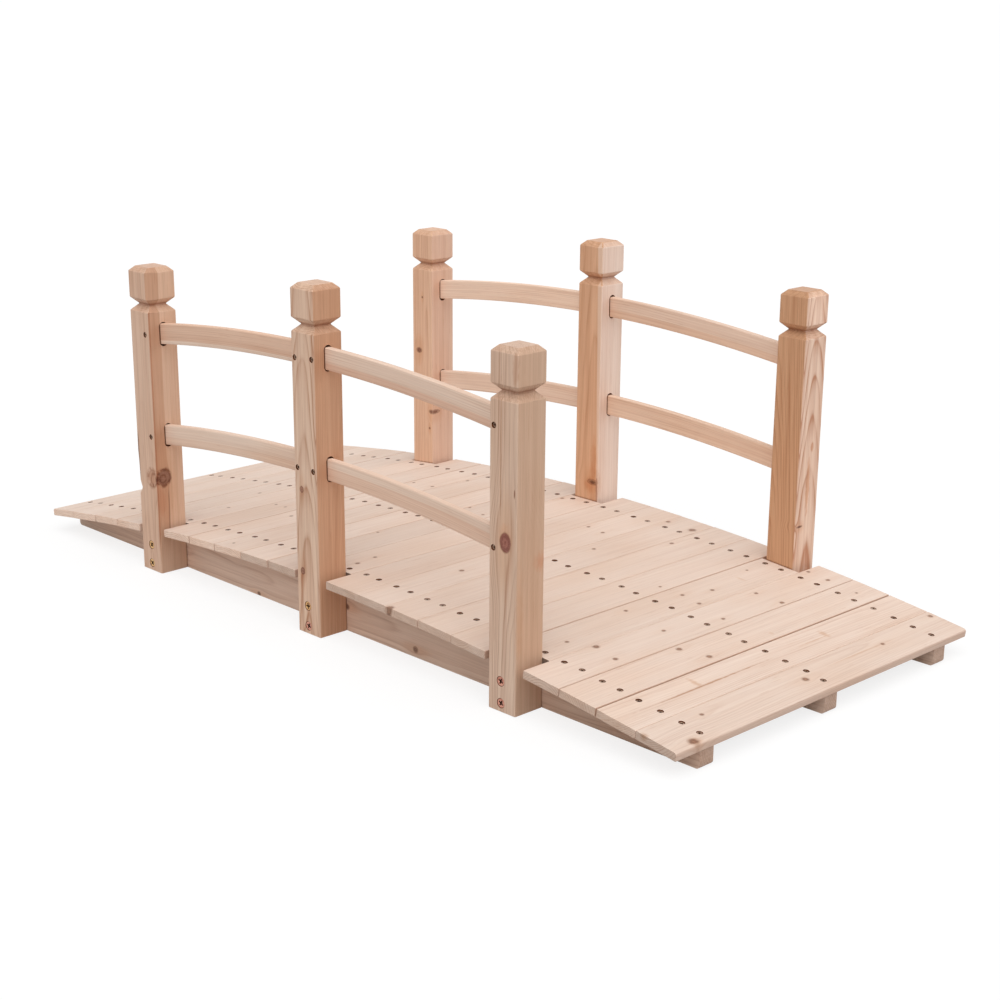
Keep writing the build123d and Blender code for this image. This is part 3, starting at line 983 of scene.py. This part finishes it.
for name in ("stringer_front", "stringer_centre", "stringer_back"):
    low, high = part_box(name)
    middle = (low + high) / 2 / MM
    material = wood(
        f"{name}_fir", ("straight", LENGTHWISE, middle), (236, 206, 186), (196, 156, 132),
        seed=rng.uniform(1, 9), pith=(rng.uniform(20, 50), rng.uniform(-40, 40)), ring=rng.uniform(3, 4.5),
        taper=rng.uniform(0.005, 0.02), contrast=0.6, side_lines=1.0, end=(0.72, 0.68, 0.66),
        knots=STRINGER_KNOTS.get(name, ()), knot_colour=(140, 100, 82), extra=painted_left_light)
    nodes[name].data.materials.clear()
    nodes[name].data.materials.append(material)

# Screws: tarnished zinc on the deck and rails, plated ones at the posts' feet
# Painted shade: the near-black walls of the screws' cross recesses
recess_painted_shade = bored_wood("recess_painted_shade_material", (66, 44, 32), (34, 22, 16))


def screw_mesh(radius, arm, width, deep, material):
    """One screw head with its cross recess painted near black as painted shade, facing up with its rim at
    height zero.
    """
    profile = ((radius - 0.7, -1.6), (radius, -0.5), (radius - 0.12, -0.12), (radius - 0.5, 0.0))
    head = add_piece("head", loft("head", lathe(profile, (0, 0, 0), (0, 0, 1), 24)), material)
    cross = [(-width, -arm), (width, -arm), (width, -width), (arm, -width), (arm, width), (width, width),
             (width, arm), (-width, arm), (-width, width), (-arm, width), (-arm, -width), (-width, -width)]
    levels = ((0.6, -deep), (1.0, 0.0), (1.05, 0.4))
    recess = [[Vector((x * k, y * k, z)) for x, y in cross] for k, z in levels]
    finish_piece(head, [loft("cross", recess)], recess_painted_shade)
    mesh = bpy.data.meshes.new_from_object(head.evaluated_get(bpy.context.evaluated_depsgraph_get()))
    bpy.data.objects.remove(head)
    return mesh


def place_screws(name, places, head, material):
    """Copies a screw head to its places: a spot, the direction it faces and its turn."""
    copies = []
    for spot, out, spin in places:
        copy = head.copy()
        stand = out.to_track_quat("Z", "Y").to_matrix().to_4x4()
        copy.transform(Matrix.Translation(spot * MM) @ stand @ Matrix.Rotation(spin, 4, "Z"))
        copies.append(copy)
    mesh = join_meshes(name, copies)
    mesh.shade_smooth()
    mesh.set_sharp_from_angle(angle=SHARP_ANGLE)
    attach(add_piece(name, mesh, material, recess_painted_shade), "root")


deck_metal = metal("tarnished_zinc", (188, 156, 132), (116, 84, 64), 0.3, 0.45)
brass_metal = metal("brass_plate", (236, 200, 140), (186, 128, 80), 0.7, 0.75)
copper_metal = metal("copper_plate", (230, 172, 150), (176, 106, 86), 1.9, 0.7)
place_screws("deck_screws", deck_screws, screw_mesh(4.2, 2.5, 0.6, 1.3, deck_metal), deck_metal)
place_screws("rail_screws", small_screws, screw_mesh(3.9, 2.3, 0.6, 1.2, deck_metal), deck_metal)
for plate, plating in (("brass", brass_metal), ("copper", copper_metal)):
    plated_head = screw_mesh(7.0, 4.6, 1.15, 1.5, plating)
    place_screws(f"post_base_screws_{plate}", base_screws[plate], plated_head, plating)

# Stage: a white floor that keeps a soft shadow, wide soft lamps and a white background
scene = bpy.context.scene
scene.view_settings.view_transform = "Standard"


def seen_directly(t):
    """One for rays that show the stage itself or its reflection, else zero."""
    path = t.add("ShaderNodeLightPath").outputs
    mirrored = t.math("MAXIMUM", path["Is Glossy Ray"], path["Is Transmission Ray"])
    return t.math("MAXIMUM", path["Is Camera Ray"], mirrored)


FLOOR_REACH, FLOOR_DROP = 60.0, 0.0004
floor_mesh = bpy.data.meshes.new("floor")
floor_corners = [(x * FLOOR_REACH, y * FLOOR_REACH, -FLOOR_DROP) for x, y in SQUARE]
floor_mesh.from_pydata(floor_corners, [], [(0, 1, 2, 3)])
floor_material, t = new_tree("floor_white")
bounce = t.add("ShaderNodeBsdfDiffuse", {"Color": (0.57, 0.57, 0.57, 1.0)})
shade = t.add("ShaderNodeBsdfDiffuse", {"Color": (0.22, 0.22, 0.22, 1.0)})
glow = t.add("ShaderNodeEmission", {"Strength": 0.80})
shown = t.add("ShaderNodeAddShader", {0: shade.outputs[0], 1: glow.outputs[0]})
both = t.add("ShaderNodeMixShader", {0: seen_directly(t), 1: bounce.outputs[0], 2: shown.outputs[0]})
t.add("ShaderNodeOutputMaterial", {"Surface": both.outputs[0]})
floor = add_piece("floor", floor_mesh, floor_material)

world = bpy.data.worlds.new("studio")
scene.world = world
world.use_nodes = True
t = Tree(world.node_tree)
soft = t.add("ShaderNodeBackground", {"Color": (1.0, 1.0, 1.0, 1.0), "Strength": 0.42})
white = t.add("ShaderNodeBackground", {"Color": (1.0, 1.0, 1.0, 1.0), "Strength": 1.0})
both = t.add("ShaderNodeMixShader", {0: seen_directly(t), 1: soft.outputs[0], 2: white.outputs[0]})
t.add("ShaderNodeOutputWorld", {"Surface": both.outputs[0]})


def direction(azimuth, elevation):
    """Unit vector towards an azimuth, counted from the front towards +X, and an elevation, in degrees."""
    a, e = math.radians(azimuth), math.radians(elevation)
    return Vector((math.sin(a) * math.cos(e), -math.cos(a) * math.cos(e), math.sin(e)))


def add_lamp(name, azimuth, elevation, strength, spread):
    """A wide lamp far away."""
    lamp = bpy.data.lights.new(name, "SUN")
    lamp.energy = strength
    lamp.angle = math.radians(spread)
    holder = bpy.data.objects.new(name, lamp)
    holder.rotation_mode = "QUATERNION"
    holder.rotation_quaternion = direction(azimuth, elevation).to_track_quat("Z", "Y")
    scene.collection.objects.link(holder)


add_lamp("key", 42, 62, 1.85, 70)
add_lamp("side", 135, 22, 0.5, 40)

# Camera at the photograph's viewing angle
AZIMUTH, ELEVATION, ROLL = 45.767, 18.202, math.radians(0.404)
PHOTO_WIDTH, FOCAL_PIXELS, SENSOR = 1000.0, 1870.983, 36.0
CAMERA_PLACE, CAMERA_SHIFT, CAMERA_REACH = (2197.89, -2064.23, 1038.29), 0.060, 200.0
back = direction(AZIMUTH, ELEVATION)
right = Vector((math.cos(math.radians(AZIMUTH)), math.sin(math.radians(AZIMUTH)), 0))
up = back.cross(right)
right, up = right * math.cos(ROLL) + up * math.sin(ROLL), up * math.cos(ROLL) - right * math.sin(ROLL)
lens = bpy.data.cameras.new("camera")
lens.sensor_width = SENSOR
lens.lens = FOCAL_PIXELS / PHOTO_WIDTH * SENSOR
lens.shift_y = CAMERA_SHIFT
lens.clip_end = CAMERA_REACH
camera = bpy.data.objects.new("camera", lens)
camera.matrix_world = Matrix((right, up, back)).transposed().to_4x4()
camera.location = Vector(CAMERA_PLACE) * MM
scene.collection.objects.link(camera)
scene.camera = camera
